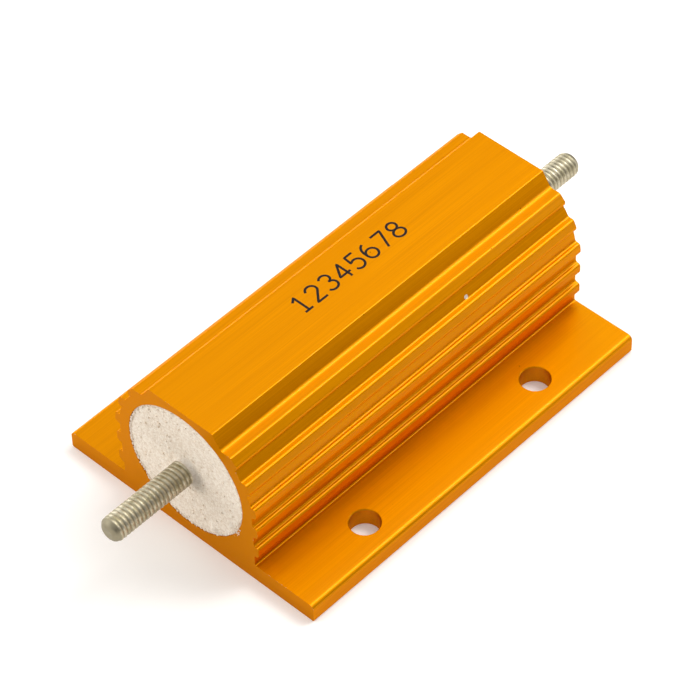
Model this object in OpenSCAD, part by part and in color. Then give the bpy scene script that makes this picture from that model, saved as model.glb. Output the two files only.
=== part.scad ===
// Housed power resistor. A wire-wound element is cemented into a finned and flanged
// aluminium extrusion, and a threaded stud comes out of each end.
// The long axis is X, the mounting face lies at Z = 0, and the origin is its centre.

/* [Housing] */
// Length that the extrusion is cut to
body_l = 66.5; // [54:0.5:120]
// Width over the two mounting flanges
base_w = 47; // [44:0.5:70]
// Thickness of the flanges
flange_t = 3.1; // [2:0.1:4.5]
// Radius on the upper outer edge of each flange
flange_edge_r = 0.8; // [0.2:0.1:1.5]
// Radius on the lower outer edge of each flange
flange_toe_r = 0.3; // [0.1:0.1:0.5]
// Fillet where a flange meets the body
flange_fillet_r = 0.3; // [0.1:0.1:1]

/* [Bore] */
// Diameter of the bore that holds the element
bore_d = 21.6; // [17:0.1:25]
// Metal between the mounting face and the bore
floor_t = 2.1; // [1.2:0.1:5]
// Metal between the bore and the root of the fins
wall_t = 1.8; // [1:0.1:3]
// Metal between the bore and the flat of the crown
crown_t = 1.25; // [0.8:0.05:3]

/* [Crown] */
// Width of the flat on top
crown_w = 12; // [8:0.5:14]
// Height of the flat above the shoulders beside it
crown_h = 2.3; // [1:0.1:3]
// Angle of the crown's sides from the horizontal
crown_slope = 57; // [45:1:80]
// Fillet at the foot of the crown's sides
crown_fillet_r = 0.8; // [0.2:0.1:1.2]
// Radius on the edges of the flat
crown_edge_r = 0.25; // [0.1:0.05:0.6]

/* [Fins] */
// Height of the lowest ledge above the flanges
fin_rise = 4; // [3:0.1:6]
// Distance from one ledge to the next
fin_pitch = 4; // [3:0.1:6]
// Thickness of a fin
fin_t = 2; // [1.2:0.1:2.6]
// How far the fins stand out from their root
fin_reach = 0.85; // [0.5:0.05:1.8]
// Radius on a fin's upper edge
fin_edge_r = 0.45; // [0.2:0.05:0.6]
// Radius on a fin's lower edge
fin_toe_r = 0.65; // [0.3:0.05:0.8]
// Fillet between a ledge and the root above it
fin_fillet_r = 0.4; // [0.1:0.05:0.6]
// Angle of a fin's underside from the horizontal
fin_slope = 20; // [0:1:35]

/* [Mounting holes] */
// Distance between the holes along the housing
hole_pitch_x = 35.5; // [20:0.5:56]
// Distance between the holes across the housing
hole_pitch_y = 37; // [33:0.5:40]
// Diameter of the holes
hole_d = 4.5; // [3:0.1:5]

/* [Element] */
// Diameter of the ceramic core
core_d = 11; // [6:0.5:13]
// Depth of the core's ends inside the housing's end faces, when it is centred
core_inset = 8.25; // [5:0.25:14]
// How far the element was set off the middle, towards the left end
element_shift = 0.45; // [0:0.05:1]
// Chamfer on the core's ends
core_chamfer = 0.5; // [0.2:0.1:1]
// Length of an end cap's skirt over the core
cap_l = 5; // [2:0.5:8]
// Sheet thickness of the end caps
cap_t = 0.6; // [0.3:0.1:0.8]
// Outer radius of the end caps' drawn corner
cap_corner_r = 0.9; // [0.5:0.1:1.4]
// Diameter of the resistance wire
wire_d = 0.9; // [0.5:0.1:1.2]
// Distance from one turn of the wire to the next
wire_pitch = 1.6; // [1.4:0.1:4]

/* [Terminals] */
// Outer diameter of the stud's thread
stud_d = 3.9; // [3:0.1:5]
// Height of the rolled thread above the plain shank
thread_rise = 0.25; // [0.1:0.05:0.4]
// Length of a stud outside the housing's end face, when the element is centred
stud_reach = 14.2; // [6:0.1:25]
// Radius that the stud's tip is rounded to
tip_r = 1.2; // [0.2:0.1:1.4]
// Diameter of the stud's flat head
head_d = 7; // [5:0.5:8]
// Thickness of the stud's flat head
head_t = 1.2; // [0.6:0.1:2]

/* [Cement] */
// Depth of the cement's faces inside the housing's end faces
cement_sink = 0.15; // [0.05:0.05:1]
// Radius of the collar that the cement forms where it climbs the stud
collar_r = 0.6; // [0.2:0.1:1.5]

/* [Fits] */
// Gap between the cement and each piece that it is poured against
bond_gap = 0.02; // [0.01:0.01:0.1]
// Gap between the core and the cap or wire around it
core_gap = 0.02; // [0.01:0.01:0.1]

/* [Hidden] */
$fn = 96;
// Turn from one chord of the section's arcs to the next
arc_step = 10;
// Shortest edge that the section is given
least_edge = 0.02;
// Extra length of a cut past the face that it opens through
cut = 1;
// Sides of the wire's section, and sections in each of its turns
wire_sides = 6;
turn_steps = 16;

bore_z = floor_t + bore_d / 2;
root_out = bore_d / 2 + wall_t;
fin_out = root_out + fin_reach;
ledge_fillet_r = min(fin_fillet_r, fin_reach - fin_edge_r);
body_h = bore_z + bore_d / 2 + crown_t;
shoulder_z = body_h - crown_h;
low_ledge_z = flange_t + fin_rise;
fin_count = floor((shoulder_z - fin_t - low_ledge_z) / fin_pitch) + 1;

core_l = body_l - 2 * core_inset;
cap_bore_d = core_d + 2 * core_gap;
cap_d = cap_bore_d + 2 * cap_t;
cap_end_x = core_l / 2 + cap_t;
rim_x = core_l / 2 - cap_l;
// The wire's flat-sided turns clear the core at the middle of each side.
turn_r = (core_d / 2 + core_gap) / cos(180 / turn_steps) + wire_d / 2;
winding_d = 2 * turn_r + wire_d;
winding_l = 2 * (rim_x - core_gap) - wire_d;
turns = winding_l / wire_pitch;

cement_end_x = body_l / 2 - cement_sink;
shank_d = stud_d - 2 * thread_rise;
collar_end_x = cement_end_x + collar_r;
tip_x = body_l / 2 + stud_reach;

function last(v) = v[len(v) - 1];

// Chords of an arc of radius r round c, from angle a to angle b, with both ends.
function arc(c, r, a, b) =
    let (n = ceil(abs(b - a) / arc_step), step = (b - a) / n)
    [for (i = [0 : n]) c + r * [cos(a + i * step), sin(a + i * step)]];

// The fins' roots and their outermost edges each follow an outline that runs upright, at
// the distance out from the middle, below the bore's centre and round that centre above it.
function side_y(z, out) = z > bore_z ? sqrt(out ^ 2 - (z - bore_z) ^ 2) : out;

// Angle at which such an outline faces the point p.
function side_angle(p) = p.y > bore_z ? atan2(p.y - bore_z, p.x) : 0;

// Points of the root outline strictly between two heights.
function root_points(z0, z1) =
    z1 <= bore_z ? [] :
    let (
        a = asin(max(z0 - bore_z, 0) / root_out),
        b = asin((z1 - bore_z) / root_out)
    )
    [for (p = arc([0, bore_z], root_out, a, b)) if (p.y > z0 && p.y < z1) p];

// Point where a fin's underside, run inwards from p, meets the root.
function notch(p) =
    let (
        d = [cos(fin_slope), sin(fin_slope)],
        q = p - [0, bore_z],
        to_wall = (p.x - root_out) / d.x,
        to_round = q * d - sqrt(max((q * d) ^ 2 - q * q + root_out ^ 2, 0)),
        on_wall = p.y - to_wall * d.y <= bore_z
    )
    p - max(on_wall ? to_wall : to_round, least_edge) * d;

// A fin's underside, its rounded lower and upper edges, and its ledge.
function fin_points(ledge_z) =
    let (
        toe_z = ledge_z - fin_t + fin_toe_r,
        edge_z = ledge_z - fin_edge_r,
        toe = [side_y(toe_z, fin_out - fin_toe_r), toe_z],
        edge = [side_y(edge_z, fin_out - fin_edge_r), edge_z],
        round_toe = arc(toe, fin_toe_r, fin_slope - 90, side_angle(toe))
    )
    concat([notch(round_toe[0])], round_toe, arc(edge, fin_edge_r, side_angle(edge), 90));

// Fillet from a ledge up into the root of the groove above it.
function ledge_points(ledge_z) =
    let (
        z = ledge_z + ledge_fillet_r,
        centre = [side_y(z, root_out + ledge_fillet_r), z]
    )
    arc(centre, ledge_fillet_r, 270, 180 + side_angle(centre));

// Rounded outer end of the flange and the fillet at its foot.
function flange_points() =
    let (
        toe = [base_w / 2 - flange_toe_r, flange_toe_r],
        edge = [base_w / 2 - flange_edge_r, flange_t - flange_edge_r],
        foot = [root_out + flange_fillet_r, flange_t + flange_fillet_r]
    )
    concat(
        arc(toe, flange_toe_r, -90, 0),
        arc(edge, flange_edge_r, 0, 90),
        arc(foot, flange_fillet_r, 270, 180)
    );

// Fillet at the foot of the crown's side and the rounded edge of its flat.
function crown_points() =
    let (
        lean = tan(crown_slope / 2),
        foot_y = crown_w / 2 + crown_h / tan(crown_slope) + crown_fillet_r * lean,
        foot = [foot_y, shoulder_z + crown_fillet_r],
        edge = [crown_w / 2 - crown_edge_r * lean, body_h - crown_edge_r]
    )
    concat(
        arc(foot, crown_fillet_r, 270, 270 - crown_slope),
        arc(edge, crown_edge_r, 90 - crown_slope, 90)
    );

// Right half of the extrusion's section, from the middle of its underside to the crown.
module half_section() {
    ledges = [for (i = [0 : fin_count - 1]) low_ledge_z + i * fin_pitch];
    fins = [for (z = concat(ledges, shoulder_z)) fin_points(z)];
    feet = concat([flange_points()], [for (z = ledges) ledge_points(z)]);
    sides = [for (i = [0 : fin_count])
        each concat(feet[i], root_points(last(feet[i]).y, fins[i][0].y), fins[i])];
    polygon(concat([[0, 0]], sides, crown_points(), [[0, body_h]]));
}

// Quarter disc with its centre at p.
module round_corner(p, r) {
    translate(p) intersection() {
        circle(r = r);
        square(r);
    }
}

// Turns what is drawn along Z on to the bore's axis, on the right or (side = 1) the left.
module on_axis(side = 0) {
    translate([0, 0, bore_z]) mirror([side, 0, 0]) rotate([0, 90, 0]) children();
}

// Puts a piece of the element where the element was set.
module in_element() {
    translate([-element_shift, 0, 0]) children();
}

module housing() {
    color("#E8920F") difference() {
        for (side = [0, 1]) mirror([0, side, 0])
            rotate([90, 0, 90]) linear_extrude(body_l, center = true) half_section();
        translate([0, 0, bore_z]) rotate([0, 90, 0])
            cylinder(d = bore_d, h = body_l + 2 * cut, center = true);
        for (x = [-1, 1], y = [-1, 1])
            translate([x * hole_pitch_x / 2, y * hole_pitch_y / 2, -cut])
                cylinder(d = hole_d, h = flange_t + 2 * cut);
    }
}

module ceramic_core() {
    straight = core_l / 2 - core_chamfer;
    color("#F4EFE2") in_element() for (side = [0, 1]) on_axis(side) {
        cylinder(d = core_d, h = straight);
        translate([0, 0, straight])
            cylinder(d1 = core_d, d2 = core_d - 2 * core_chamfer, h = core_chamfer);
    }
}

// Corner number k of the wire's section number i.
function wire_point(i, n, k) =
    let (
        a = 360 * turns * i / n,
        b = 360 * k / wire_sides + 90,
        r = turn_r + wire_d / 2 * sin(b),
        x = winding_l * (i / n - 0.5) + wire_d / 2 * cos(b)
    )
    [x, r * cos(a), r * sin(a)];

module resistance_winding() {
    n = ceil(turns * turn_steps);
    m = wire_sides;
    points = [for (i = [0 : n], k = [0 : m - 1]) wire_point(i, n, k)];
    sides = [for (i = [0 : n - 1], k = [0 : m - 1])
        let (p = i * m + k, q = i * m + (k + 1) % m)
        each [[p, q, q + m], [p, q + m, p + m]]];
    ends = [
        [for (k = [0 : m - 1]) m - 1 - k],
        [for (k = [0 : m - 1]) n * m + k],
    ];
    color("#8E8A84") in_element() translate([0, 0, bore_z])
        polyhedron(points, concat(sides, ends));
}

// Drawn steel cup that is pressed over an end of the core.
module end_cap(side) {
    corner = [cap_d / 2 - cap_corner_r, cap_end_x - cap_corner_r];
    color("#B9BCC0") in_element() on_axis(side) rotate_extrude() difference() {
        union() {
            translate([0, rim_x]) square([cap_d / 2, corner.y - rim_x]);
            translate([0, rim_x]) square([corner.x, cap_end_x - rim_x]);
            round_corner(corner, cap_corner_r);
        }
        translate([0, rim_x - cut]) square([cap_bore_d / 2, cap_l + cut]);
    }
}

// A flat head against the cap, a plain shank in the cement and the threaded length outside.
module terminal_stud(side) {
    thread_x = collar_end_x + (side == 0 ? element_shift : -element_shift);
    corner = [stud_d / 2 - tip_r, tip_x - tip_r];
    color("#B5AFA3") in_element() on_axis(side) rotate_extrude() {
        translate([0, cap_end_x]) square([head_d / 2, head_t]);
        translate([0, cap_end_x]) square([shank_d / 2, thread_x - cap_end_x]);
        translate([0, thread_x]) square([stud_d / 2, corner.y - thread_x]);
        translate([0, thread_x]) square([corner.x, tip_x - thread_x]);
        round_corner(corner, tip_r);
    }
}

// Room for the whole element, from the middle outwards.
module element_half(side) {
    gap = bond_gap;
    in_element() on_axis(side) {
        cylinder(d = winding_d + 2 * gap, h = rim_x + gap);
        cylinder(d = cap_d + 2 * gap, h = cap_end_x + gap);
        cylinder(d = head_d + 2 * gap, h = cap_end_x + head_t + gap);
        cylinder(d = shank_d + 2 * gap, h = tip_x);
    }
}

// Cement, cast round the element up to both ends of the bore, where it climbs the studs.
module cement_fill() {
    foot = [stud_d / 2, cement_end_x];
    collar = foot + [collar_r, collar_r];
    color("#E1D4C3") difference() {
        for (side = [0, 1]) on_axis(side) {
            cylinder(d = bore_d - 2 * bond_gap, h = cement_end_x);
            cylinder(d = stud_d, h = collar_end_x);
            rotate_extrude() polygon(concat([foot], arc(collar, collar_r, 270, 180)));
        }
        for (side = [0, 1]) element_half(side);
    }
}

module end_cap_left() end_cap(1);

module end_cap_right() end_cap(0);

module terminal_stud_left() terminal_stud(1);

module terminal_stud_right() terminal_stud(0);

housing();
cement_fill();
ceramic_core();
resistance_winding();
end_cap_left();
end_cap_right();
terminal_stud_left();
terminal_stud_right();
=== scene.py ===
# Housed power resistor: a gold anodised extrusion with fins and flanges, the element cemented
# into its bore, and a threaded stud at each end. Lengths in the dictionaries are in millimetres.

import math
import random

import bmesh
import bpy
from mathutils import Matrix, Vector, geometry, noise


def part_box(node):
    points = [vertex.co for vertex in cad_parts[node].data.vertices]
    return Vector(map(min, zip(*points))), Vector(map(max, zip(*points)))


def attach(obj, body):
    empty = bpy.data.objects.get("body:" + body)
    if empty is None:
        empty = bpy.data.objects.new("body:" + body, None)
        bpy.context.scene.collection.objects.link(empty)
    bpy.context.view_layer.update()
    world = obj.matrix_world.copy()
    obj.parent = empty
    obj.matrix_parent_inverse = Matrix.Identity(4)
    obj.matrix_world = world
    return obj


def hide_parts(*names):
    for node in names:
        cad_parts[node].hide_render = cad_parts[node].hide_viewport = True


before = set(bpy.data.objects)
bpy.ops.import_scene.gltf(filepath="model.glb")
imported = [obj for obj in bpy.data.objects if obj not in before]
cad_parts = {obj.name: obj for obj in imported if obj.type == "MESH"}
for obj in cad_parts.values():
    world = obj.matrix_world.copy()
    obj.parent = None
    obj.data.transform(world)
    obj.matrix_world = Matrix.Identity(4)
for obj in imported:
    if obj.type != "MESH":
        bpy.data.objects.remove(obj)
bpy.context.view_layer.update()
print("frame loaded, nodes:", len(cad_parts))


def mm(length):
    return length / 1000  # scene units are metres


def boxInMm(nodeName):
    low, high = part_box(nodeName)
    return low * 1000, high * 1000


def linear(hexColour):
    channels = [int(hexColour[i:i + 2], 16) / 255 for i in (1, 3, 5)]
    curve = [c / 12.92 if c <= 0.04045 else ((c + 0.055) / 1.055) ** 2.4 for c in channels]
    return (*curve, 1)


def addNode(tree, kind, inputs=(), **settings):
    made = tree.nodes.new(kind)
    for name, value in settings.items():
        setattr(made, name, value)
    for socket, value in dict(inputs).items():
        if isinstance(value, bpy.types.NodeSocket):
            tree.links.new(value, made.inputs[socket])
        else:
            made.inputs[socket].default_value = value
    return made


def startMaterial(name, **surface):
    material = bpy.data.materials.new(name)
    material.use_nodes = True
    tree = material.node_tree
    shader = tree.nodes["Principled BSDF"]
    for socket, value in surface.items():
        shader.inputs[socket.replace("_", " ")].default_value = value
    place = addNode(tree, "ShaderNodeTexCoord").outputs["Object"]
    return material, tree, shader, place


anodisedLook = {
    "gold": "#DC8F00",
    "goldDeep": "#CE8000",
    "sawnGold": "#CC8606",
    "lowAngle": "#F4C24C",
    "bareMetal": "#E4DFD6",
    "pit": "#6E3C06",
    "roughness": 0.5,
    "roughnessSpread": 0.03,
    "sawnRoughness": 0.56,
    "coat": 0.06,
    "coatRoughness": 0.12,
    "coatIor": 1.6,
    "lineWidth": 0.13,
    "lineLength": 28,
    "bandWidth": 1.1,
    "bandLength": 160,
    "bandShare": 0.2,
    "lineSpread": (0.36, 0.64),
    "lineDepth": 0.004,
    "lineStrength": 0.35,
    "sawWidth": 0.22,
    "sawLength": 6,
    "sawTilt": 24,
    "sawnDepth": 0.01,
    "endFacing": 0.9,
    "nickSize": 0.5,
    "nickReach": 0.18,
    "nickLevel": (0.6, 0.64),
    "finNick": (11.64, -10.8, 19.39),  # along, across, up
    "finNickRadius": 0.34,
    "finNickEdge": (1.5, 1.3),
    "pitSpacing": 4.5,
    "pitRadius": 0.12,
    "pitCore": 0.5,
}


def anodisedAluminium(halfLength):
    # Extruded aluminium, etched satin and anodised gold: the die leaves fine lines along it, and
    # the dyed oxide film keeps its reflections golden, with a faint clear sheen over them. The
    # die lines and saw marks are drawn coarser than they are, so that they show.
    look = anodisedLook
    material, tree, shader, place = startMaterial(
        "anodisedAluminium", Metallic=1, Specular_Tint=linear(look["lowAngle"]),
        Coat_Weight=look["coat"], Coat_Roughness=look["coatRoughness"], Coat_IOR=look["coatIor"])
    dark, light = look["lineSpread"]
    lines = addNode(tree, "ShaderNodeVectorMath", {0: place, 1: (
        1 / mm(look["lineLength"]), 1 / mm(look["lineWidth"]), 1 / mm(look["lineWidth"]))},
        operation="MULTIPLY").outputs[0]
    fineLines = addNode(tree, "ShaderNodeTexNoise", {
        "Vector": lines, "Scale": 1, "Detail": 3, "Roughness": 0.6}).outputs["Fac"]
    bands = addNode(tree, "ShaderNodeVectorMath", {0: place, 1: (
        1 / mm(look["bandLength"]), 1 / mm(look["bandWidth"]), 1 / mm(look["bandWidth"]))},
        operation="MULTIPLY").outputs[0]
    dieBands = addNode(tree, "ShaderNodeTexNoise", {
        "Vector": bands, "Scale": 1, "Detail": 1}).outputs["Fac"]
    lineMix = addNode(tree, "ShaderNodeMix", {
        0: look["bandShare"], 2: fineLines, 3: dieBands}).outputs[0]
    lineShare = addNode(tree, "ShaderNodeMapRange", {
        "Value": lineMix, "From Min": dark, "From Max": light}).outputs[0]
    skin = addNode(tree, "ShaderNodeMix", {
        0: lineShare, 6: linear(look["goldDeep"]), 7: linear(look["gold"])},
        data_type="RGBA").outputs[2]

    # The sawn ends: faces that look along the part.
    facing = addNode(tree, "ShaderNodeSeparateXYZ", {
        0: addNode(tree, "ShaderNodeNewGeometry").outputs["True Normal"]}).outputs[0]
    endOn = addNode(tree, "ShaderNodeMath", {0: facing}, operation="ABSOLUTE").outputs[0]
    facesEnd = addNode(tree, "ShaderNodeMath", {0: endOn, 1: look["endFacing"]},
                       operation="GREATER_THAN").outputs[0]
    x = addNode(tree, "ShaderNodeSeparateXYZ", {0: place}).outputs[0]
    offMiddle = addNode(tree, "ShaderNodeMath", {0: x}, operation="ABSOLUTE").outputs[0]
    atEnd = addNode(tree, "ShaderNodeMath", {
        0: offMiddle, 1: mm(halfLength - look["sawnDepth"])}, operation="GREATER_THAN").outputs[0]
    sawn = addNode(tree, "ShaderNodeMath", {0: facesEnd, 1: atEnd},
                   operation="MULTIPLY").outputs[0]
    turned = addNode(tree, "ShaderNodeVectorRotate", {
        "Vector": place, "Angle": math.radians(look["sawTilt"])}, rotation_type="X_AXIS").outputs[0]
    sawLines = addNode(tree, "ShaderNodeVectorMath", {0: turned, 1: (
        1, 1 / mm(look["sawWidth"]), 1 / mm(look["sawLength"]))}, operation="MULTIPLY").outputs[0]
    sawMarks = addNode(tree, "ShaderNodeTexNoise", {
        "Vector": sawLines, "Scale": 1, "Detail": 4, "Roughness": 0.7}).outputs["Fac"]
    sawnSkin = addNode(tree, "ShaderNodeMix", {
        0: sawMarks, 6: linear(look["sawnGold"]), 7: linear(look["goldDeep"])},
        data_type="RGBA").outputs[2]
    colour = addNode(tree, "ShaderNodeMix", {0: sawn, 6: skin, 7: sawnSkin},
                     data_type="RGBA").outputs[2]

    # Nicks where the film chipped off the sawn corners, down to bare metal.
    nearEnd = addNode(tree, "ShaderNodeMapRange", {
        "Value": offMiddle, "From Min": mm(halfLength - look["nickReach"]),
        "From Max": mm(halfLength)}).outputs[0]
    chips = addNode(tree, "ShaderNodeTexNoise", {
        "Vector": place, "Scale": 1 / mm(look["nickSize"]), "Detail": 2}).outputs["Fac"]
    chipSum = addNode(tree, "ShaderNodeMath", {0: chips, 1: nearEnd},
                      operation="MULTIPLY").outputs[0]
    onSide = addNode(tree, "ShaderNodeMath", {0: 1, 1: sawn}, operation="SUBTRACT").outputs[0]
    chipOnSide = addNode(tree, "ShaderNodeMath", {0: chipSum, 1: onSide},
                         operation="MULTIPLY").outputs[0]
    nicked = addNode(tree, "ShaderNodeMapRange", {
        "Value": chipOnSide, "From Min": look["nickLevel"][0],
        "From Max": look["nickLevel"][1]}).outputs[0]
    colour = addNode(tree, "ShaderNodeMix", {
        0: nicked, 6: colour, 7: linear(look["bareMetal"])}, data_type="RGBA").outputs[2]

    # One knock on a fin, ragged at its edge.
    knockRadius, (clear, bare) = mm(look["finNickRadius"]), look["finNickEdge"]
    fromKnock = addNode(tree, "ShaderNodeVectorMath", {
        0: place, 1: tuple(mm(c) for c in look["finNick"])}, operation="DISTANCE").outputs["Value"]
    knockRag = addNode(tree, "ShaderNodeMath", {0: chips, 1: knockRadius},
                       operation="MULTIPLY").outputs[0]
    knockOut = addNode(tree, "ShaderNodeMath", {0: fromKnock, 1: knockRag}).outputs[0]
    knocked = addNode(tree, "ShaderNodeMapRange", {
        "Value": knockOut, "From Min": knockRadius * clear,
        "From Max": knockRadius * bare}).outputs[0]
    colour = addNode(tree, "ShaderNodeMix", {
        0: knocked, 6: colour, 7: linear(look["bareMetal"])}, data_type="RGBA").outputs[2]

    # A few small pits and specks in the film.
    spots = addNode(tree, "ShaderNodeTexVoronoi", {
        "Vector": place, "Scale": 1 / mm(look["pitSpacing"])}).outputs["Distance"]
    pitEdge = look["pitRadius"] / look["pitSpacing"]
    pitted = addNode(tree, "ShaderNodeMapRange", {
        "Value": spots, "From Min": pitEdge, "From Max": look["pitCore"] * pitEdge}).outputs[0]
    colour = addNode(tree, "ShaderNodeMix", {
        0: pitted, 6: colour, 7: linear(look["pit"])}, data_type="RGBA").outputs[2]
    tree.links.new(colour, shader.inputs["Base Color"])

    satin = addNode(tree, "ShaderNodeMapRange", {
        "Value": lineMix, "From Min": dark, "From Max": light,
        "To Min": look["roughness"] - look["roughnessSpread"],
        "To Max": look["roughness"] + look["roughnessSpread"]}).outputs[0]
    gloss = addNode(tree, "ShaderNodeMix", {
        0: sawn, 2: satin, 3: look["sawnRoughness"]}).outputs[0]
    tree.links.new(gloss, shader.inputs["Roughness"])
    relief = addNode(tree, "ShaderNodeMix", {0: sawn, 2: fineLines, 3: sawMarks}).outputs[0]
    bump = addNode(tree, "ShaderNodeBump", {
        "Height": relief, "Strength": look["lineStrength"],
        "Distance": mm(look["lineDepth"])}).outputs[0]
    tree.links.new(bump, shader.inputs["Normal"])
    return material


cementLook = {
    "pale": "#FBF1E2",
    "body": "#E2D1BC",
    "warm": "#DCC6AC",
    "speck": "#9C866E",
    "rootGrey": "#8C877C",
    "roughness": 0.78,
    "sparkleRoughness": 0.3,
    "patch": 4,
    "grainShare": 0.7,
    "grainSpread": (0.1, 0.9),
    "sparkleSpread": (0.85, 0.95),
    "grain": 0.26,
    "fineGrain": 0.13,
    "grainHeight": 0.04,
    "grainStrength": 0.7,
    "speckSpacing": 3.4,
    "speckRadius": 0.085,
    "speckCore": 0.4,
    "rootGreyInside": 1.1,
    "rootGreyOutside": 3.3,
    "rootGreyShift": (-0.8, -0.2),
    "rootGreyRag": 1.2,
    "rootGreyShare": 0.62,
}


def quartzCement(axisZ):
    # Silicone cement filled with quartz sand, trowelled flush and cured: matt and chalky, with pale
    # grains and a few brown ones. It is painted darker grey round the stud's root, centred off the
    # axis.
    look = cementLook
    material, tree, shader, place = startMaterial("quartzCement", IOR=1.5)
    cells = addNode(tree, "ShaderNodeTexVoronoi", {
        "Vector": place, "Scale": 1 / mm(look["grain"])})
    tint = addNode(tree, "ShaderNodeSeparateColor", {0: cells.outputs["Color"]})
    patches = addNode(tree, "ShaderNodeTexNoise", {
        "Vector": place, "Scale": 1 / mm(look["patch"]), "Detail": 3}).outputs["Fac"]
    base = addNode(tree, "ShaderNodeMix", {
        0: patches, 6: linear(look["warm"]), 7: linear(look["pale"])},
        data_type="RGBA").outputs[2]
    share = addNode(tree, "ShaderNodeMapRange", {
        "Value": tint.outputs[0], "From Min": look["grainSpread"][0],
        "From Max": look["grainSpread"][1]}).outputs[0]
    grains = addNode(tree, "ShaderNodeMix", {
        0: share, 6: linear(look["body"]), 7: linear(look["pale"])}, data_type="RGBA").outputs[2]
    colour = addNode(tree, "ShaderNodeMix", {0: look["grainShare"], 6: base, 7: grains},
                     data_type="RGBA").outputs[2]
    specks = addNode(tree, "ShaderNodeTexVoronoi", {
        "Vector": place, "Scale": 1 / mm(look["speckSpacing"])}).outputs["Distance"]
    speckEdge = look["speckRadius"] / look["speckSpacing"]
    specked = addNode(tree, "ShaderNodeMapRange", {
        "Value": specks, "From Min": speckEdge,
        "From Max": look["speckCore"] * speckEdge}).outputs[0]
    colour = addNode(tree, "ShaderNodeMix", {
        0: specked, 6: colour, 7: linear(look["speck"])}, data_type="RGBA").outputs[2]

    # Distance from just off the stud's axis, broken up by the grain, for the grey painted round it.
    shiftY, shiftZ = look["rootGreyShift"]
    level = addNode(tree, "ShaderNodeVectorMath", {
        0: place, 1: (0, mm(shiftY), mm(axisZ + shiftZ))}, operation="SUBTRACT").outputs[0]
    across = addNode(tree, "ShaderNodeVectorMath", {0: level, 1: (0, 1, 1)},
                     operation="MULTIPLY").outputs[0]
    out = addNode(tree, "ShaderNodeVectorMath", {0: across}, operation="LENGTH").outputs["Value"]
    smear = addNode(tree, "ShaderNodeMath", {0: patches, 1: mm(look["rootGreyRag"])},
                    operation="MULTIPLY").outputs[0]
    ragged = addNode(tree, "ShaderNodeMath", {0: out, 1: smear}).outputs[0]
    middle = look["rootGreyRag"] / 2
    greyedRoot = addNode(tree, "ShaderNodeMapRange", {
        "Value": ragged, "From Min": mm(look["rootGreyOutside"] + middle),
        "From Max": mm(look["rootGreyInside"] + middle), "To Max": look["rootGreyShare"]}).outputs[0]
    colour = addNode(tree, "ShaderNodeMix", {
        0: greyedRoot, 6: colour, 7: linear(look["rootGrey"])}, data_type="RGBA").outputs[2]
    tree.links.new(colour, shader.inputs["Base Color"])

    gloss = addNode(tree, "ShaderNodeMapRange", {
        "Value": tint.outputs[1], "From Min": look["sparkleSpread"][0],
        "From Max": look["sparkleSpread"][1],
        "To Min": look["roughness"], "To Max": look["sparkleRoughness"]}).outputs[0]
    tree.links.new(gloss, shader.inputs["Roughness"])
    fine = addNode(tree, "ShaderNodeTexNoise", {
        "Vector": place, "Scale": 1 / mm(look["fineGrain"]), "Detail": 2}).outputs["Fac"]
    height = addNode(tree, "ShaderNodeMath", {0: cells.outputs["Distance"], 1: fine},
                     operation="SUBTRACT").outputs[0]
    bump = addNode(tree, "ShaderNodeBump", {
        "Height": height, "Strength": look["grainStrength"], "Distance": mm(look["grainHeight"])},
        invert=True).outputs[0]
    tree.links.new(bump, shader.inputs["Normal"])
    return material


studLook = {
    "crest": "#CBC3AC",
    "root": "#958D76",
    "tarnish": "#A19878",
    "roughness": 0.42,
    "dullest": 0.15,
    "brightest": 0.06,
    "crestBlend": 0.03,
    "wornSpread": (0.35, 0.65),
    "glossSpread": (0.3, 0.7),
    "scratchWidth": 0.09,
    "scratchLength": 1.4,
    "scratchDepth": 0.01,
    "scratchStrength": 0.4,
    "patch": 1.1,
}


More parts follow.
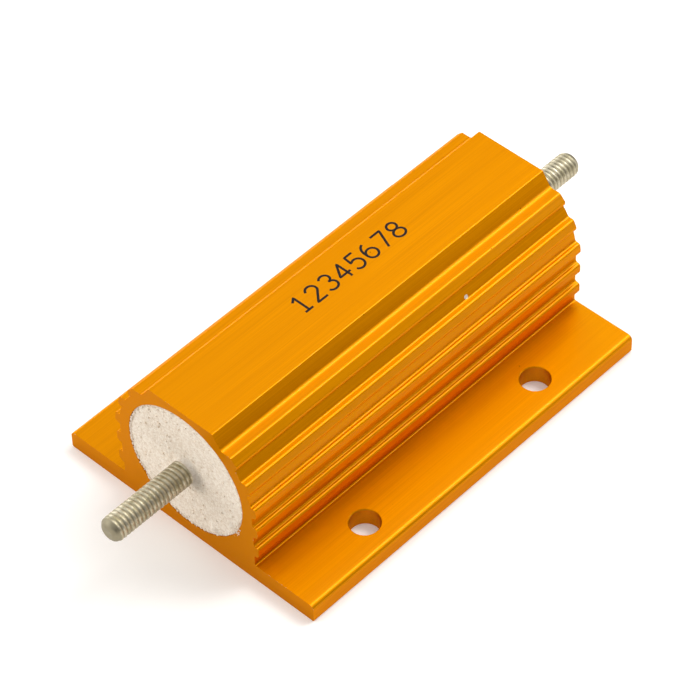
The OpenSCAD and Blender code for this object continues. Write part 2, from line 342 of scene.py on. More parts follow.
def platedSteel(axisZ, rootRadius, crestRadius):
    # Zinc plated steel with a rolled thread: soft grey shine on the crests, and painted shade in
    # the roots, where the colour is made darker than on the crests.
    look = studLook
    material, tree, shader, place = startMaterial("platedSteel", Metallic=1)
    level = addNode(tree, "ShaderNodeVectorMath", {0: place, 1: (0, 0, mm(axisZ))},
                    operation="SUBTRACT").outputs[0]
    across = addNode(tree, "ShaderNodeVectorMath", {0: level, 1: (0, 1, 1)},
                     operation="MULTIPLY").outputs[0]
    out = addNode(tree, "ShaderNodeVectorMath", {0: across}, operation="LENGTH").outputs["Value"]
    # Painted shade: the colour runs from the crest grey down to a darker one in the thread's roots.
    crestShare = addNode(tree, "ShaderNodeMapRange", {
        "Value": out, "From Min": mm(rootRadius),
        "From Max": mm(crestRadius - look["crestBlend"])}).outputs[0]
    patches = addNode(tree, "ShaderNodeTexNoise", {
        "Vector": place, "Scale": 1 / mm(look["patch"]), "Detail": 4,
        "Roughness": 0.65}).outputs["Fac"]
    worn = addNode(tree, "ShaderNodeMapRange", {
        "Value": patches, "From Min": look["wornSpread"][0],
        "From Max": look["wornSpread"][1]}).outputs[0]
    shine = addNode(tree, "ShaderNodeMix", {
        0: worn, 6: linear(look["tarnish"]), 7: linear(look["crest"])},
        data_type="RGBA").outputs[2]
    colour = addNode(tree, "ShaderNodeMix", {
        0: crestShare, 6: linear(look["root"]), 7: shine}, data_type="RGBA").outputs[2]
    tree.links.new(colour, shader.inputs["Base Color"])
    gloss = addNode(tree, "ShaderNodeMapRange", {
        "Value": patches, "From Min": look["glossSpread"][0], "From Max": look["glossSpread"][1],
        "To Min": look["roughness"] + look["dullest"],
        "To Max": look["roughness"] - look["brightest"]}).outputs[0]
    tree.links.new(gloss, shader.inputs["Roughness"])
    narrow, long = 1 / mm(look["scratchWidth"]), 1 / mm(look["scratchLength"])
    stretch = addNode(tree, "ShaderNodeVectorMath", {0: place, 1: (narrow, long, long)},
                      operation="MULTIPLY").outputs[0]
    scratches = addNode(tree, "ShaderNodeTexNoise", {
        "Vector": stretch, "Scale": 1, "Detail": 2}).outputs["Fac"]
    bump = addNode(tree, "ShaderNodeBump", {
        "Height": scratches, "Strength": look["scratchStrength"],
        "Distance": mm(look["scratchDepth"])}).outputs[0]
    tree.links.new(bump, shader.inputs["Normal"])
    return material


plainSpread = {"roughness": 0.08, "strength": 0.3}


def plainGrain(name, look, **surface):
    # Grain of two tints with a little relief, for the ink and the pieces sealed inside.
    material, tree, shader, place = startMaterial(name, **surface)
    fac = addNode(tree, "ShaderNodeTexNoise", {
        "Vector": place, "Scale": 1 / mm(look["grain"]), "Detail": 4,
        "Roughness": 0.6}).outputs["Fac"]
    colour = addNode(tree, "ShaderNodeMix", {
        0: fac, 6: linear(look["dark"]), 7: linear(look["light"])}, data_type="RGBA").outputs[2]
    gloss = addNode(tree, "ShaderNodeMapRange", {
        "Value": fac, "To Min": look["roughness"] - plainSpread["roughness"],
        "To Max": look["roughness"] + plainSpread["roughness"]}).outputs[0]
    bump = addNode(tree, "ShaderNodeBump", {
        "Height": fac, "Strength": plainSpread["strength"],
        "Distance": mm(look["relief"])}).outputs[0]
    tree.links.new(colour, shader.inputs["Base Color"])
    tree.links.new(gloss, shader.inputs["Roughness"])
    tree.links.new(bump, shader.inputs["Normal"])
    return material


print("materials ready")


mergeDistance = 0.0005  # points closer than this are one


def faceOutwards(mesh):
    work = bmesh.new()
    work.from_mesh(mesh)
    bmesh.ops.remove_doubles(work, verts=work.verts, dist=mm(mergeDistance))
    bmesh.ops.recalc_face_normals(work, faces=work.faces)
    work.to_mesh(mesh)
    work.free()


def makePiece(name, points, faces, material):
    mesh = bpy.data.meshes.new(name)
    mesh.from_pydata([[mm(c) for c in p] for p in points], [], faces)
    faceOutwards(mesh)
    mesh.materials.append(material)
    piece = bpy.data.objects.new(name, mesh)
    bpy.context.scene.collection.objects.link(piece)
    return piece


def smoothBelow(piece, angle):
    piece.data.shade_smooth()
    piece.data.set_sharp_from_angle(angle=math.radians(angle))


def arc(centre, radius, start, end, step=5):
    count = max(1, math.ceil(abs(end - start) / step))
    angles = [math.radians(start + (end - start) * i / count) for i in range(count + 1)]
    return [(centre[0] + radius * math.cos(a), centre[1] + radius * math.sin(a)) for a in angles]


def lathe(rows, spokes, axisZ):
    # Rows are (x, radius), either of them a number or a list with one for each spoke.
    points, faces = [], []
    for x, radius in rows:
        for k in range(spokes):
            turn = 2 * math.pi * k / spokes
            r = radius[k] if isinstance(radius, list) else radius
            xk = x[k] if isinstance(x, list) else x
            points.append((xk, r * math.cos(turn), axisZ + r * math.sin(turn)))
    for i in range(len(rows) - 1):
        for k in range(spokes):
            n = (k + 1) % spokes
            near, far = i * spokes, (i + 1) * spokes
            faces.append((near + k, near + n, far + n, far + k))
    return points, faces


housingSizes = {
    "flangeThickness": 3.1,
    "flangeEdge": 0.8,
    "flangeToe": 0.3,
    "flangeFillet": 0.3,
    "bore": 21.6,
    "floorThickness": 2.1,
    "wall": 1.8,
    "crownWidth": 12,
    "crownHeight": 2.3,
    "crownSlope": 57,
    "crownFillet": 0.8,
    "crownEdge": 0.25,
    "finRise": 4,
    "finPitch": 4,
    "finThickness": 2,
    "finReach": 0.85,
    "finEdge": 0.45,
    "finToe": 0.65,
    "finFillet": 0.4,
    "finSlope": 20,
    "leastEdge": 0.02,
    "holePitchX": 35.5,
    "holePitchY": 37,
    "hole": 4.5,
    "holeBreak": 0.12,
    "boreSides": 240,
    "holeSides": 96,
    "smoothAngle": 25,
    "evenWeight": 100,
}


def housingSection(halfWidth, height):
    # Half of the section, from the foot of the flange round the fins to the crown, as (y, z).
    s = housingSizes
    boreZ = s["floorThickness"] + s["bore"] / 2
    rootOut = s["bore"] / 2 + s["wall"]
    finOut = rootOut + s["finReach"]
    shoulderZ = height - s["crownHeight"]
    lowLedge = s["flangeThickness"] + s["finRise"]
    fillet = min(s["finFillet"], s["finReach"] - s["finEdge"])
    slope = math.radians(s["finSlope"])

    def sideY(z, out):
        return math.sqrt(out ** 2 - (z - boreZ) ** 2) if z > boreZ else out

    def sideAngle(p):
        return math.degrees(math.atan2(p[1] - boreZ, p[0])) if p[1] > boreZ else 0

    def rootPoints(z0, z1):
        if z1 <= boreZ:
            return []
        start = math.degrees(math.asin(max(z0 - boreZ, 0) / rootOut))
        end = math.degrees(math.asin((z1 - boreZ) / rootOut))
        return [p for p in arc((0, boreZ), rootOut, start, end)[1:-1] if z0 < p[1] < z1]

    def notch(p):
        # Where a fin's underside, run inwards from p, meets the root.
        dy, dz = math.cos(slope), math.sin(slope)
        qy, qz = p[0], p[1] - boreZ
        along = qy * dy + qz * dz
        toWall = (p[0] - rootOut) / dy
        toRound = along - math.sqrt(max(along ** 2 - qy ** 2 - qz ** 2 + rootOut ** 2, 0))
        reach = toWall if p[1] - toWall * dz <= boreZ else toRound
        reach = max(reach, s["leastEdge"])
        return (p[0] - reach * dy, p[1] - reach * dz)

    def finPoints(ledge):
        toeZ = ledge - s["finThickness"] + s["finToe"]
        toe = (sideY(toeZ, finOut - s["finToe"]), toeZ)
        edgeZ = ledge - s["finEdge"]
        edge = (sideY(edgeZ, finOut - s["finEdge"]), edgeZ)
        roundToe = arc(toe, s["finToe"], s["finSlope"] - 90, sideAngle(toe))
        return [notch(roundToe[0]), *roundToe, *arc(edge, s["finEdge"], sideAngle(edge), 90)]

    def ledgePoints(ledge):
        z = ledge + fillet
        centre = (sideY(z, rootOut + fillet), z)
        return arc(centre, fillet, 270, 180 + sideAngle(centre))

    ledges = []
    while lowLedge + len(ledges) * s["finPitch"] <= shoulderZ - s["finThickness"]:
        ledges.append(lowLedge + len(ledges) * s["finPitch"])
    edge, toe, foot = s["flangeEdge"], s["flangeToe"], s["flangeFillet"]
    flange = [
        *arc((halfWidth - toe, toe), toe, -90, 0),
        *arc((halfWidth - edge, s["flangeThickness"] - edge), edge, 0, 90),
        *arc((rootOut + foot, s["flangeThickness"] + foot), foot, 270, 180),
    ]
    feet = [flange] + [ledgePoints(z) for z in ledges]
    points = []
    for foot, ledge in zip(feet, [*ledges, shoulderZ]):
        fin = finPoints(ledge)
        points += foot + rootPoints(foot[-1][1], fin[0][1]) + fin
    lean = math.tan(math.radians(s["crownSlope"] / 2))
    run = s["crownHeight"] / math.tan(math.radians(s["crownSlope"]))
    crown, fillet, edge = s["crownWidth"] / 2, s["crownFillet"], s["crownEdge"]
    points += arc((crown + run + fillet * lean, shoulderZ + fillet),
                  fillet, 270, 270 - s["crownSlope"])
    points += arc((crown - edge * lean, height - edge), edge, 90 - s["crownSlope"], 90)
    return points + [(0, height)]


def fillBetween(points, outline, holes):
    # Triangles of a flat face between an outline and the holes in it, all given as point numbers.
    numbers = [n for loop in (outline, *holes) for n in loop]
    loops = [[Vector(points[n]) for n in loop] for loop in (outline, *holes)]
    return [tuple(numbers[i] for i in t) for t in geometry.tessellate_polygon(loops)]


def makeHousing():
    s = housingSizes
    low, high = boxInMm("housing")
    boreZ = s["floorThickness"] + s["bore"] / 2
    half = housingSection(high.y, high.z)
    loop = half + [(-y, z) for y, z in reversed(half[:-1])]
    count = len(loop)
    points = [(x, y, z) for x in (low.x, high.x) for y, z in loop]
    left, right = list(range(count)), list(range(count, 2 * count))
    faces = []

    def addRing(ring):
        points.extend(ring)
        return list(range(len(points) - len(ring), len(points)))

    def addWall(one, other):
        for i, n in enumerate(one):
            m = (i + 1) % len(one)
            faces.append((n, one[m], other[m], other[i]))

    turns = [2 * math.pi * k / s["boreSides"] for k in range(s["boreSides"])]
    r = s["bore"] / 2
    bore = [addRing([(x, r * math.cos(a), boreZ + r * math.sin(a)) for a in turns])
            for x in (low.x, high.x)]
    addWall(*bore)
    faces += fillBetween(points, left, [bore[0]]) + fillBetween(points, right, [bore[1]])

    # The mounting holes, broken a little at both edges, with the flange faces round them.
    r, top, lip = s["hole"] / 2, s["flangeThickness"], s["holeBreak"]
    turns = [2 * math.pi * k / s["holeSides"] for k in range(s["holeSides"])]
    rims = {-1: [], 1: []}
    for sx, sy in ((-1, -1), (1, -1), (-1, 1), (1, 1)):
        x, y = sx * s["holePitchX"] / 2, sy * s["holePitchY"] / 2
        rings = [addRing([(x + rad * math.cos(a), y + rad * math.sin(a), z) for a in turns])
                 for z, rad in ((0, r + lip), (lip, r), (top - lip, r), (top, r + lip))]
        for one, other in zip(rings, rings[1:]):
            addWall(one, other)
        rims[sy].append((rings[0], rings[3]))
    tiny = 1e-6
    for i in range(count):
        n = (i + 1) % count
        (y0, z0), (y1, z1) = loop[i], loop[n]
        patch = [left[i], left[n], right[n], right[i]]
        if z0 == z1 == 0:
            under = [ring for side in rims.values() for ring, _ in side]
            faces += fillBetween(points, patch, under)
        elif abs(z0 - top) < tiny and abs(z1 - top) < tiny and abs(y1 - y0) > s["hole"]:
            over = [ring for _, ring in rims[1 if y0 > 0 else -1]]
            faces += fillBetween(points, patch, over)
        else:
            faces.append(tuple(patch))
    piece = makePiece("housingExtrusion", points, faces, anodisedAluminium(high.x))
    smoothBelow(piece, s["smoothAngle"])
    even = piece.modifiers.new("evenShade", "WEIGHTED_NORMAL")  # keeps the flats flat
    even.keep_sharp = True
    even.weight = s["evenWeight"]
    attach(piece, "root")
    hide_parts("housing")
    print("housing made, faces:", len(piece.data.polygons))


makeHousing()


cementSizes = {
    "collar": 0.6,
    "collarSteps": 6,
    "collarBlend": 0.3,
    "studClearance": 0.02,
    "rimGap": 0.03,
    "rimDrop": 0.12,
    "swell": 0.05,
    "swellSize": 3.5,
    "grain": 0.42,
    "grainHeight": 0.06,
    "grainEdge": 0.4,
    "grainSink": 0.6,
    "grainStep": 0.5,
    "stepScale": 0.5,
    "stepShift": (7, 3, 1),
    "lumps": (  # across, up from the axis, radius, height; left end only
        (-4.9, -8.4, 1.0, 0.55),
        (-8.4, -4.8, 0.8, 0.55),
    ),
    "spillAngle": 209,
    "spillSpread": 5,
    "spillReach": (-0.6, 0.5),
    "spillLift": 0.7,
    "spillGrains": 46,
    "rings": 64,
    "spokes": 400,
    "rimGrains": 520,
    "rimReach": (0.5, 1.6),
    "looseGrains": 150,
    "looseMargins": (0.9, 0.4),  # from the stud, from the rim
    "grainLift": (-0.2, 0.5),
    "grainRadius": (0.08, 0.2),
    "grainShape": (0.75, 1.15),
    "seed": 11,
    "smoothAngle": 35,
}


def grainRelief(x, y, z):
    # Height of the sand grains over the face, in mm.
    s = cementSizes
    spot = Vector((x, y, z)) / s["grain"]
    near = noise.voronoi(spot)[0]
    dome = min(max(near[1] - near[0], 0), s["grainEdge"]) / s["grainEdge"]
    lift = noise.cell(spot * s["stepScale"] + Vector(s["stepShift"]))
    swell = noise.noise(Vector((x, y, z)) / s["swellSize"])
    rise = dome - s["grainSink"] + s["grainStep"] * lift
    return s["grainHeight"] * rise + s["swell"] * swell


def makeCement(material):
    s = cementSizes
    low, high = boxInMm("cement_fill")
    axisZ = (low.z + high.z) / 2
    rim = (high.y - low.y) / 2
    capLeft, capRight = boxInMm("end_cap_left"), boxInMm("end_cap_right")
    studLeft = boxInMm("terminal_stud_left")
    wire = boxInMm("resistance_winding")
    gap = s["studClearance"]
    head = (studLeft[1].y - studLeft[0].y) / 2 + gap
    cap = (capLeft[1].y - capLeft[0].y) / 2 + gap
    coil = (wire[1].y - wire[0].y) / 2 + gap
    shank = studSizes["shank"] + gap
    crest = studSizes["crest"]
    headLength = studSizes["headThickness"] + gap
    spokes = s["spokes"]
    step = 2 * math.pi / spokes

    def faceRows(side):
        # From the stud out to the rim: the collar, then the grainy face.
        end = high.x if side > 0 else -low.x
        face = end - s["collar"]
        rows = [(side * end, shank), (side * end, crest)]
        for i in range(1, s["collarSteps"] + 1):
            a = math.radians(90 * i / s["collarSteps"])
            rows.append((crest + s["collar"] * (1 - math.cos(a)), end - s["collar"] * math.sin(a)))
        collarOut = crest + s["collar"]
        span = rim - s["rimGap"] - collarOut
        radii = [collarOut + span * i / s["rings"] for i in range(1, s["rings"] + 1)]
        rings = rows[2:] + [(r, face) for r in radii]
        made = rows[:2]
        for r, x in rings:
            xs, rs = [], []
            for k in range(spokes):
                y, z = r * math.cos(k * step), axisZ + r * math.sin(k * step)
                fade = min(1, (r - crest) / s["collarBlend"])
                lump = 0
                if side < 0:
                    lump = sum(h * math.exp(-((y - u) ** 2 + (z - axisZ - v) ** 2) / (w * w / 2))
                               for u, v, w, h in s["lumps"])
                xs.append(side * (x + lump + fade * grainRelief(side * face, y, z)))
                rs.append(r)
            made.append((xs, rs))
        made.append((side * (face - s["rimDrop"]), rim))
        return made

    right, left = faceRows(1), faceRows(-1)
    inside = [  # the stepped hollow round the studs' heads, the caps and the wire, as (x, radius)
        (left[0][0], shank),
        (capLeft[0].x - headLength, shank), (capLeft[0].x - headLength, head),
        (capLeft[0].x - gap, head), (capLeft[0].x - gap, cap),
        (capLeft[1].x + gap, cap), (capLeft[1].x + gap, coil),
        (capRight[0].x - gap, coil), (capRight[0].x - gap, cap),
        (capRight[1].x + gap, cap), (capRight[1].x + gap, head),
        (capRight[1].x + headLength, head), (capRight[1].x + headLength, shank),
    ]
    rows = inside + right + list(reversed(left[1:]))
    points, faces = lathe(rows, spokes, axisZ)
    last = (len(rows) - 1) * spokes
    for k in range(spokes):
        n = (k + 1) % spokes
        faces.append((last + k, last + n, n, k))

    # Loose grains that stand proud: along the rim, over the face, and a few spilled past the rim.
    draw = random.Random(s["seed"])
    ball = bmesh.new()
    bmesh.ops.create_icosphere(ball, subdivisions=1, radius=1)
    ballPoints = [v.co.copy() for v in ball.verts]
    ballFaces = [tuple(v.index for v in f.verts) for f in ball.faces]
    ball.free()
    for side in (-1, 1):
        end = high.x if side > 0 else -low.x
        face = end - s["collar"]
        spilled = s["spillGrains"] if side < 0 else 0
        for i in range(s["rimGrains"] + s["looseGrains"] + spilled):
            size = draw.uniform(*s["grainRadius"])
            turn = draw.uniform(0, 2 * math.pi)
            lift = draw.uniform(*s["grainLift"])
            if i < s["rimGrains"]:
                out = rim - size * draw.uniform(*s["rimReach"])
            elif i >= s["rimGrains"] + s["looseGrains"]:
                turn = math.radians(s["spillAngle"] + draw.gauss(0, s["spillSpread"]))
                out = rim + draw.uniform(*s["spillReach"])
                lift = s["spillLift"]
            else:
                near, far = crest + s["looseMargins"][0], rim - s["looseMargins"][1]
                out = math.sqrt(draw.uniform(near ** 2, far ** 2))
            centre = Vector((side * (face + lift * size), out * math.cos(turn),
                             axisZ + out * math.sin(turn)))
            spin = Matrix.Rotation(draw.uniform(0, 6.3), 3,
                                   Vector((draw.random(), draw.random(), 1)))
            start = len(points)
            for p in ballPoints:
                bent = spin @ Vector([c * draw.uniform(*s["grainShape"]) for c in p])
                points.append(tuple(centre + bent * size))
            faces += [tuple(start + n for n in f) for f in ballFaces]
    piece = makePiece("cementPotting", points, faces, material)
    smoothBelow(piece, s["smoothAngle"])
    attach(piece, "root")
    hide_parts("cement_fill")
    print("cement made, faces:", len(piece.data.polygons))


studSizes = {
    "crest": 1.95,
    "threadDepth": 0.1,
    "pitch": 0.7,
    "grooveSharpness": 1.6,
    "tipRadius": 1.2,
    "tipSteps": 14,
    "tipFade": 1.15,
    "shank": 1.7,
    "shankRun": 0.3,
    "poleRadius": 0.4,
    "headThickness": 1.2,
    "headEdge": 0.15,
    "sides": 80,
    "stepsPerTurn": 12,
    "endDish": 0.06,
    "dishShares": (0.75, 0.5, 0.25, 0.08),
    "dishCurve": 0.7,
    "cementOverlap": 0.02,
    "smoothAngle": 40,
}


def makeStud(name, nodeName, side, material):
    # One closed body: the flat head, the shank, the threaded length and the rounded tip.
    s = studSizes
    low, high = boxInMm(nodeName)
    axisZ = (low.z + high.z) / 2
    inner, tip = (low.x, high.x) if side > 0 else (-high.x, -low.x)
    headRadius = (high.y - low.y) / 2
    cement = boxInMm("cement_fill")
    start = (cement[1].x if side > 0 else -cement[0].x) - s["cementOverlap"]
    sides, edge = s["sides"], s["headEdge"]

    def ridge(x, k, envelope, depth):
        phase = (side * x / s["pitch"] - k / sides) % 1
        groove = (0.5 + 0.5 * math.cos(2 * math.pi * phase)) ** s["grooveSharpness"]
        return envelope - depth * groove  # narrow grooves, broad crests

    outer = inner + s["headThickness"]
    rows = [(inner, s["poleRadius"]), (inner, headRadius - edge), (inner + edge, headRadius),
            (outer - edge, headRadius), (outer, headRadius - edge), (outer, s["shank"]),
            (start - s["shankRun"], s["shank"])]
    rowsOut = [(side * x, r) for x, r in rows]
    tipStart = tip - s["tipRadius"]
    steps = round((tipStart - start) / s["pitch"] * s["stepsPerTurn"])
    for i in range(steps + 1):
        x = start + (tipStart - start) * i / steps
        ring = [ridge(x, k, s["crest"], s["threadDepth"]) for k in range(sides)]
        rowsOut.append((side * x, ring))
    flatRadius = s["crest"] - s["tipRadius"]
    for i in range(1, s["tipSteps"] + 1):
        a = math.radians(90 * i / s["tipSteps"])
        x = tipStart + s["tipRadius"] * math.sin(a)
        envelope = flatRadius + s["tipRadius"] * math.cos(a)
        depth = s["threadDepth"] * max(0, 1 - s["tipFade"] * i / s["tipSteps"])
        rowsOut.append((side * x, [ridge(x, k, envelope, depth) for k in range(sides)]))
    for share in s["dishShares"]:
        dish = s["endDish"] * (1 - share) ** s["dishCurve"]
        rowsOut.append((side * (tip - dish), flatRadius * share))
    points, faces = lathe(rowsOut, sides, axisZ)
    faces.append(tuple(reversed(range(sides))))
    faces.append(tuple(range(len(points) - sides, len(points))))
    piece = makePiece(name, points, faces, material)
    smoothBelow(piece, s["smoothAngle"])
    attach(piece, "root")
    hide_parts(nodeName)
    print(name, "made, faces:", len(piece.data.polygons))


boreCentre = (boxInMm("cement_fill")[0].z + boxInMm("cement_fill")[1].z) / 2
makeCement(quartzCement(boreCentre))
rootRadius = studSizes["crest"] - studSizes["threadDepth"]
studSteel = platedSteel(boreCentre, rootRadius, studSizes["crest"])
makeStud("terminalStudLeft", "terminal_stud_left", -1, studSteel)
makeStud("terminalStudRight", "terminal_stud_right", 1, studSteel)


markSizes = {
    "height": 3.1,
    "pitch": 2.72,
    "stroke": 0.38,
    "startX": -9.2,
    "baseY": 0.05,
    "thickness": 0.012,
    "bowSteps": 16,
    "cornerShare": 0.05,
    "strokeRounds": 3,
    "smoothAngle": 60,
}


def makeMark(material):
    # A plain row of counting figures, drawn with one line width.
    s = markSizes

    def bow(cx, cy, rx, ry, start, end):
        return [(cx + rx * math.cos(math.radians(a)), cy + ry * math.sin(math.radians(a)))
                for a in [start + (end - start) * i / s["bowSteps"]
                          for i in range(s["bowSteps"] + 1)]]

    figures = [  # one list of strokes for each, in shares of its height
        [[(0.08, 0.8), (0.32, 1), (0.32, 0)], [(0.08, 0), (0.56, 0)]],
        [bow(0.31, 0.72, 0.29, 0.28, 165, -25) + [(0.02, 0), (0.62, 0)]],
        [bow(0.3, 0.75, 0.27, 0.25, 150, -80), bow(0.3, 0.27, 0.31, 0.27, 85, -155)],
        [[(0.46, 0), (0.46, 1), (0.0, 0.3), (0.64, 0.3)]],
        [[(0.56, 1), (0.1, 1), (0.06, 0.56)] + bow(0.29, 0.31, 0.31, 0.31, 125, -150)],
        [bow(0.45, 0.5, 0.43, 0.5, 105, 180) + bow(0.32, 0.3, 0.3, 0.3, 180, 535)],
        [[(0.02, 1), (0.62, 1), (0.22, 0)]],
        [bow(0.32, 0.76, 0.25, 0.24, -90, 270), bow(0.32, 0.26, 0.31, 0.26, 90, 450)],
    ]
    top = boxInMm("housing")[1].z
    curve = bpy.data.curves.new("mark", "CURVE")
    curve.dimensions = "3D"
    curve.bevel_depth = mm(s["stroke"] / 2)
    curve.bevel_resolution = s["strokeRounds"]
    curve.use_fill_caps = True
    for i, strokes in enumerate(figures):
        for stroke in strokes:
            path = [stroke[0]]  # extra points beside each corner keep the stroke's width
            shares = (s["cornerShare"], 1 - s["cornerShare"], 1)
            for (ax, ay), (bx, by) in zip(stroke, stroke[1:]):
                path += [(ax + (bx - ax) * t, ay + (by - ay) * t) for t in shares]
            line = curve.splines.new("POLY")
            line.points.add(len(path) - 1)
            for point, (x, y) in zip(line.points, path):
                point.co = (mm(s["startX"] + i * s["pitch"] + x * s["height"]),
                            mm(s["baseY"] + y * s["height"]), 0, 1)
    shaped = bpy.data.objects.new("markLines", curve)
    mesh = bpy.data.meshes.new_from_object(shaped)
    bpy.data.objects.remove(shaped)
    mesh.transform(Matrix.Translation((0, 0, mm(top))) @ Matrix.Diagonal(
        (1, 1, s["thickness"] / s["stroke"] * 2, 1)))
    mesh.name = "printedFigures"
    faceOutwards(mesh)
    mesh.materials.clear()
    mesh.materials.append(material)
    piece = bpy.data.objects.new("printedFigures", mesh)
    bpy.context.scene.collection.objects.link(piece)
    smoothBelow(piece, s["smoothAngle"])
    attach(piece, "root")
    print("printed figures made, faces:", len(piece.data.polygons))


# Stamping ink cured on the anodised film: nearly black brown and matt, a little uneven.
inkLook = {
    "dark": "#0F0906",
    "light": "#1E140B",
    "grain": 0.25,
    "roughness": 0.6,
    "relief": 0.004,
    "shine": 0.2,
}
makeMark(plainGrain("stampingInk", inkLook, Specular_IOR_Level=inkLook["shine"]))

# Pressed and fired steatite, unglazed: white and chalky.
steatiteLook = {
    "dark": "#E4DDCD",
    "light": "#F6F2E8",
    "grain": 0.3,
    "roughness": 0.7,
    "relief": 0.02,
}
# Drawn nickel alloy wire: an even, dull grey shine.
resistanceAlloyLook = {
    "dark": "#7E7A73",
    "light": "#A09B93",
    "grain": 0.2,
    "roughness": 0.35,
    "relief": 0.005,
}
# Deep drawn steel: bright and smooth.
drawnSteelLook = {
    "dark": "#B4B6B8",
    "light": "#D0D2D4",
    "grain": 0.5,
    "roughness": 0.28,
    "relief": 0.004,
}
hidden = {  # the pieces sealed inside keep the frame's own shapes
    "ceramic_core": plainGrain("steatite", steatiteLook),
    "resistance_winding": plainGrain("resistanceAlloy", resistanceAlloyLook, Metallic=1),
    "end_cap_left": plainGrain("drawnSteel", drawnSteelLook, Metallic=1),
}
hidden["end_cap_right"] = hidden["end_cap_left"]
for nodeName, material in hidden.items():
    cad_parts[nodeName].material_slots[0].material = material
print("sealed pieces dressed")


stageLook = {
    "floor": "#F5F2EE",
    "floorGlow": 0.16,
    "floorSize": 4000,
    "floorDrop": 0.02,
    "sky": {  # azimuth, elevation, tightness, level
        "backWall": (126, 14, 5.0, 2.4),
        "ceiling": (60, 72, 5.0, 0.9),
        "frontWall": (300, 60, 10.0, 0.6),
        "leftWall": (200, 28, 4.0, 0.55),
        "backPanel": (61, 4, 40.0, 7.0),
    },
    "lamps": {  # place, width and height, radiance
        "high": ((350, 20, 606), (420, 440), 3.05),
        "side": ((513, -373, 330), (420, 560), 1.55),
        "spark": ((340, -170, 580), (200, 200), 8.0),
    },
}


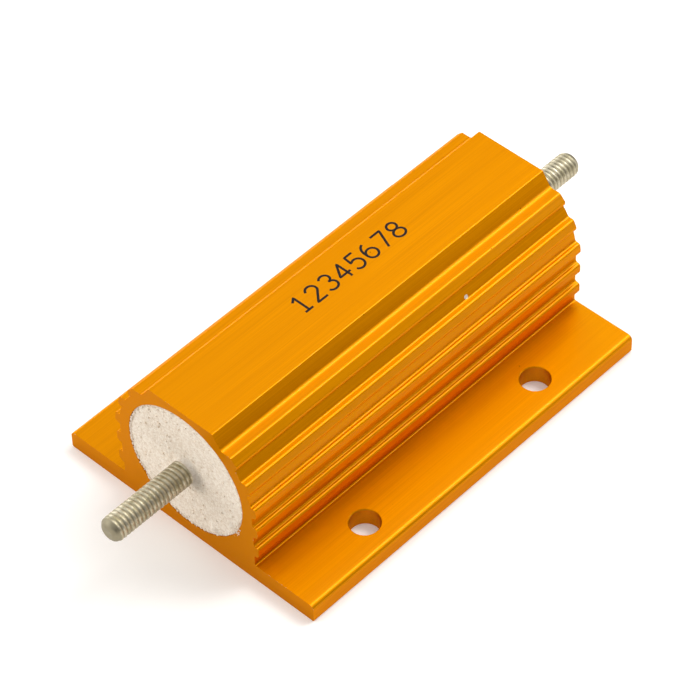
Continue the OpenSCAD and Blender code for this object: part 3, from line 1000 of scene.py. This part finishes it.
def makeStage():
    # Seamless background paper, coated smooth: matt and nearly white. It glows a little where the
    # camera or a reflection sees it, so that it turns white with no more light on the part.
    s = stageLook
    material = bpy.data.materials.new("paperSweep")
    material.use_nodes = True
    tree = material.node_tree
    tree.nodes.clear()
    paper = addNode(tree, "ShaderNodeBsdfDiffuse", {"Color": linear(s["floor"])}).outputs[0]
    glow = addNode(tree, "ShaderNodeEmission", {
        "Color": (1, 1, 1, 1), "Strength": s["floorGlow"]}).outputs[0]
    both = addNode(tree, "ShaderNodeAddShader", {0: paper, 1: glow}).outputs[0]
    ray = addNode(tree, "ShaderNodeLightPath")
    seen = addNode(tree, "ShaderNodeMath", {
        0: ray.outputs["Is Camera Ray"], 1: ray.outputs["Is Glossy Ray"]},
        operation="MAXIMUM").outputs[0]
    seen = addNode(tree, "ShaderNodeMath", {
        0: seen, 1: ray.outputs["Is Transmission Ray"]}, operation="MAXIMUM").outputs[0]
    mix = addNode(tree, "ShaderNodeMixShader", {0: seen, 1: paper, 2: both}).outputs[0]
    addNode(tree, "ShaderNodeOutputMaterial", {"Surface": mix})
    half, z = s["floorSize"] / 2, -s["floorDrop"]
    corners = [(-half, -half, z), (half, -half, z), (half, half, z), (-half, half, z)]
    floor = makePiece("floor", corners, [(0, 1, 2, 3)], material)

    # The room: soft patches of light for its walls and ceiling, each fading round its middle.
    world = bpy.data.worlds.new("studio")
    bpy.context.scene.world = world
    world.use_nodes = True
    tree = world.node_tree
    tree.nodes.clear()
    ray = addNode(tree, "ShaderNodeLightPath")
    way = addNode(tree, "ShaderNodeTexCoord").outputs["Generated"]
    room = 0
    for azimuth, elevation, tightness, level in s["sky"].values():
        a, e = math.radians(azimuth), math.radians(elevation)
        axis = (math.cos(e) * math.cos(a), math.cos(e) * math.sin(a), math.sin(e))
        toAxis = addNode(tree, "ShaderNodeVectorMath", {0: way, 1: axis},
                         operation="DOT_PRODUCT").outputs["Value"]
        fall = addNode(tree, "ShaderNodeMath", {
            0: toAxis, 1: tightness, 2: math.log(level) - tightness},
            operation="MULTIPLY_ADD").outputs[0]
        glow = addNode(tree, "ShaderNodeMath", {0: fall}, operation="EXPONENT").outputs[0]
        room = addNode(tree, "ShaderNodeMath", {0: room, 1: glow}, operation="ADD").outputs[0]
    level = addNode(tree, "ShaderNodeMix", {
        0: ray.outputs["Is Camera Ray"], 2: room, 3: 1.0}).outputs[0]
    sky = addNode(tree, "ShaderNodeBackground", {
        "Color": (1, 1, 1, 1), "Strength": level}).outputs[0]
    addNode(tree, "ShaderNodeOutputWorld", {"Surface": sky})

    # The lamps give the main light and the highlights.
    for name, (spot, size, radiance) in s["lamps"].items():
        lamp = bpy.data.lights.new(name, "AREA")
        lamp.shape = "RECTANGLE"
        lamp.size, lamp.size_y = mm(size[0]), mm(size[1])
        lamp.energy = math.pi * lamp.size * lamp.size_y * radiance
        holder = bpy.data.objects.new(name, lamp)
        bpy.context.scene.collection.objects.link(holder)
        place = Vector([mm(c) for c in spot])
        turn = place.to_track_quat("Z", "Y").to_matrix().to_4x4()  # faces the part
        holder.matrix_world = Matrix.Translation(place) @ turn
    print("floor and lights placed")


makeStage()


cameraSetting = {
    "azimuth": -45.473,
    "elevation": 47.459,
    "roll": -1.954,
    "distance": 497.094,
    "aim": (6.296, 6.853, 0),
    "lens": 176.916,
    "sensor": 36,
    "clip": (10, 20000),
}


def makeCamera():
    s = cameraSetting
    a, e, r = (math.radians(s[k]) for k in ("azimuth", "elevation", "roll"))
    back = Vector((math.sin(a) * math.cos(e), -math.cos(a) * math.cos(e), math.sin(e)))
    right = Vector((math.cos(a), math.sin(a), 0))
    up = back.cross(right)
    rolledRight = math.cos(r) * right + math.sin(r) * up
    rolledUp = math.cos(r) * up - math.sin(r) * right
    lens = bpy.data.cameras.new("camera")
    lens.lens = s["lens"]
    lens.sensor_width = s["sensor"]
    lens.clip_start, lens.clip_end = mm(s["clip"][0]), mm(s["clip"][1])
    camera = bpy.data.objects.new("camera", lens)
    bpy.context.scene.collection.objects.link(camera)
    place = Vector([mm(c) for c in s["aim"]]) + back * mm(s["distance"])
    turn = Matrix((rolledRight, rolledUp, back)).transposed().to_4x4()
    camera.matrix_world = Matrix.Translation(place) @ turn
    bpy.context.scene.camera = camera
    print("camera placed")


makeCamera()
bpy.context.scene.view_settings.view_transform = "Standard"
